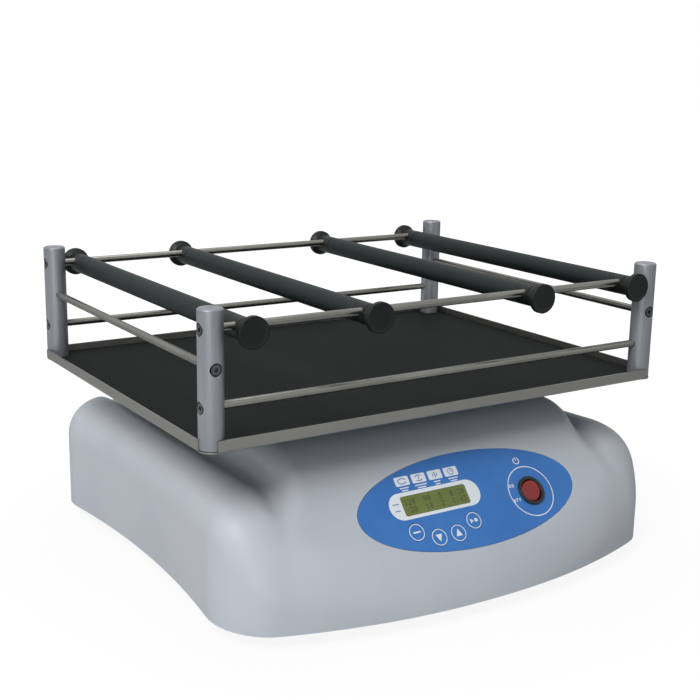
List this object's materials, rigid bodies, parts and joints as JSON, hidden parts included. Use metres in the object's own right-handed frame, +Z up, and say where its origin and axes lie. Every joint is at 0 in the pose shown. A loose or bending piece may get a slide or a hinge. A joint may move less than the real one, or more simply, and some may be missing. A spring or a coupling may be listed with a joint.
{
  "type": "orbital shaker",
  "caption": "Low bench orbital shaker with a sloped control panel, a power rocker and a railed bottle platform whose padded clamp bars slide and lock with knobs.",
  "frame": {"origin": "on the bench, under the middle of the platform at rest", "axes": "+Z up; +X to the right along the control panel and the upper rods; the control panel faces -Y"},
  "size_m": [0.43, 0.41, 0.252],
  "materials": {
    "housing": "moulded, satin",
    "base_sheet": "powder coated",
    "foot_rubber": "matt",
    "screw_steel": "bright steel",
    "chassis_aluminium": "machined",
    "machined_steel": "turned",
    "motor_paint": "satin",
    "belt_rubber": "matt",
    "board": "solder mask",
    "overlay": "printed film",
    "lcd": "reflective display",
    "window": "clear",
    "key_film": "printed film",
    "black_plastic": "satin",
    "red_plastic": "glossy",
    "tray_steel": "brushed stainless",
    "mat_rubber": "ribbed, matt",
    "post_aluminium": "satin anodised",
    "rod_steel": "drawn stainless",
    "grip_rubber": "satin",
    "clamp_plastic": "moulded"
  },
  "bodies": {
    "base": {"cover": "housing", "base_plate": "base_sheet", "feet": "foot_rubber", "foot_screws": "screw_steel", "bearing_plate": "chassis_aluminium", "plate_pillars": "chassis_aluminium", "plate_screws": "screw_steel", "spindle_housing": "chassis_aluminium", "base_bearings": "machined_steel", "motor": "motor_paint", "drive_belt": "belt_rubber", "control_board": "board", "panel_overlay": "overlay", "display_module": "lcd", "display_window": "window", "rocker_frame": "black_plastic", "dc_inlet": "black_plastic"},
    "crank": {"drive_shaft": "machined_steel", "counterweight": "machined_steel", "driven_pulley": "chassis_aluminium"},
    "rotor": {"motor_shaft": "machined_steel", "motor_pulley": "chassis_aluminium"},
    "idler_1": {"idler_crank_1": "machined_steel"},
    "idler_2": {"idler_crank_2": "machined_steel"},
    "idler_3": {"idler_crank_3": "machined_steel"},
    "platform": {"carriage_plate": "chassis_aluminium", "carriage_bearings": "machined_steel", "carriage_posts": "chassis_aluminium", "tray": "tray_steel", "tray_screws": "screw_steel", "mat": "mat_rubber", "front_left_post": "post_aluminium", "front_right_post": "post_aluminium", "rear_left_post": "post_aluminium", "rear_right_post": "post_aluminium", "long_rods": "rod_steel", "side_rods": "rod_steel", "post_screws": "screw_steel"},
    "bar_1": {"clamp_bar_1": "grip_rubber", "clamp_ends_1": "clamp_plastic"},
    "bar_2": {"clamp_bar_2": "grip_rubber", "clamp_ends_2": "clamp_plastic"},
    "bar_3": {"clamp_bar_3": "grip_rubber", "clamp_ends_3": "clamp_plastic"},
    "bar_4": {"clamp_bar_4": "grip_rubber", "clamp_ends_4": "clamp_plastic"},
    "front_knob_1_body": {"front_knob_1": "clamp_plastic"},
    "front_knob_2_body": {"front_knob_2": "clamp_plastic"},
    "front_knob_3_body": {"front_knob_3": "clamp_plastic"},
    "front_knob_4_body": {"front_knob_4": "clamp_plastic"},
    "rear_knob_1_body": {"rear_knob_1": "clamp_plastic"},
    "rear_knob_2_body": {"rear_knob_2": "clamp_plastic"},
    "rear_knob_3_body": {"rear_knob_3": "clamp_plastic"},
    "rear_knob_4_body": {"rear_knob_4": "clamp_plastic"},
    "rocker": {"rocker_button": "red_plastic"},
    "select_key_body": {"select_key": "key_film"},
    "down_key_body": {"down_key": "key_film"},
    "up_key_body": {"up_key": "key_film"},
    "start_key_body": {"start_key": "key_film"}
  },
  "joints": [
    {"name": "drive_spin", "type": "hinge", "parent": "base", "child": "crank", "pos_m": [0.01, 0, 0.09], "axis": [0, 0, 1], "continuous": true},
    {"name": "motor_spin", "type": "hinge", "parent": "base", "child": "rotor", "pos_m": [-0.06, 0.04, 0.04], "axis": [0, 0, 1], "continuous": true},
    {"name": "idler_1_spin", "type": "hinge", "parent": "base", "child": "idler_1", "pos_m": [0.01, 0.105, 0.08], "axis": [0, 0, 1], "continuous": true},
    {"name": "idler_2_spin", "type": "hinge", "parent": "base", "child": "idler_2", "pos_m": [-0.08093, -0.0525, 0.08], "axis": [0, 0, 1], "continuous": true},
    {"name": "idler_3_spin", "type": "hinge", "parent": "base", "child": "idler_3", "pos_m": [0.10093, -0.0525, 0.08], "axis": [0, 0, 1], "continuous": true},
    {"name": "platform_orbit", "type": "hinge", "parent": "crank", "child": "platform", "pos_m": [0, 0, 0.108], "axis": [0, 0, 1], "continuous": true},
    {"name": "bar_1_slide", "type": "slide", "parent": "platform", "child": "bar_1", "axis": [1, 0, 0], "range_m": [-0.006, 0.038]},
    {"name": "bar_2_slide", "type": "slide", "parent": "platform", "child": "bar_2", "axis": [1, 0, 0], "range_m": [-0.038, 0.064]},
    {"name": "bar_3_slide", "type": "slide", "parent": "platform", "child": "bar_3", "axis": [1, 0, 0], "range_m": [-0.064, 0.038]},
    {"name": "bar_4_slide", "type": "slide", "parent": "platform", "child": "bar_4", "axis": [1, 0, 0], "range_m": [-0.038, 0.006]},
    {"name": "front_knob_1_turn", "type": "hinge", "parent": "bar_1", "child": "front_knob_1_body", "pos_m": [-0.18, -0.165, 0.2351], "axis": [0, -1, 0], "range_deg": [0, 360]},
    {"name": "front_knob_2_turn", "type": "hinge", "parent": "bar_2", "child": "front_knob_2_body", "pos_m": [-0.077, -0.165, 0.2351], "axis": [0, -1, 0], "range_deg": [0, 360]},
    {"name": "front_knob_3_turn", "type": "hinge", "parent": "bar_3", "child": "front_knob_3_body", "pos_m": [0.077, -0.165, 0.2351], "axis": [0, -1, 0], "range_deg": [0, 360]},
    {"name": "front_knob_4_turn", "type": "hinge", "parent": "bar_4", "child": "front_knob_4_body", "pos_m": [0.18, -0.165, 0.2351], "axis": [0, -1, 0], "range_deg": [0, 360]},
    {"name": "rear_knob_1_turn", "type": "hinge", "parent": "bar_1", "child": "rear_knob_1_body", "pos_m": [-0.18, 0.165, 0.2351], "axis": [0, 1, 0], "range_deg": [0, 360]},
    {"name": "rear_knob_2_turn", "type": "hinge", "parent": "bar_2", "child": "rear_knob_2_body", "pos_m": [-0.077, 0.165, 0.2351], "axis": [0, 1, 0], "range_deg": [0, 360]},
    {"name": "rear_knob_3_turn", "type": "hinge", "parent": "bar_3", "child": "rear_knob_3_body", "pos_m": [0.077, 0.165, 0.2351], "axis": [0, 1, 0], "range_deg": [0, 360]},
    {"name": "rear_knob_4_turn", "type": "hinge", "parent": "bar_4", "child": "rear_knob_4_body", "pos_m": [0.18, 0.165, 0.2351], "axis": [0, 1, 0], "range_deg": [0, 360]},
    {"name": "rocker_tilt", "type": "hinge", "parent": "base", "child": "rocker", "pos_m": [0.0765, -0.16496, 0.07491], "axis": [1, 0, 0], "range_deg": [-20, 0]},
    {"name": "select_press", "type": "slide", "parent": "base", "child": "select_key_body", "axis": [0, 0.7547, -0.6561], "range_m": [0, 0.0004], "stiffness_N_per_m": 1500, "springref_m": -0.0004},
    {"name": "down_press", "type": "slide", "parent": "base", "child": "down_key_body", "axis": [0, 0.7547, -0.6561], "range_m": [0, 0.0004], "stiffness_N_per_m": 1500, "springref_m": -0.0004},
    {"name": "up_press", "type": "slide", "parent": "base", "child": "up_key_body", "axis": [0, 0.7547, -0.6561], "range_m": [0, 0.0004], "stiffness_N_per_m": 1500, "springref_m": -0.0004},
    {"name": "start_press", "type": "slide", "parent": "base", "child": "start_key_body", "axis": [0, 0.7547, -0.6561], "range_m": [0, 0.0004], "stiffness_N_per_m": 1500, "springref_m": -0.0004}
  ],
  "couplings": [
    {"joint": "platform_orbit", "follows": "drive_spin", "ratio": -1},
    {"joint": "motor_spin", "follows": "drive_spin", "ratio": 3},
    {"joint": "idler_1_spin", "follows": "drive_spin", "ratio": 1},
    {"joint": "idler_2_spin", "follows": "drive_spin", "ratio": 1},
    {"joint": "idler_3_spin", "follows": "drive_spin", "ratio": 1}
  ]
}
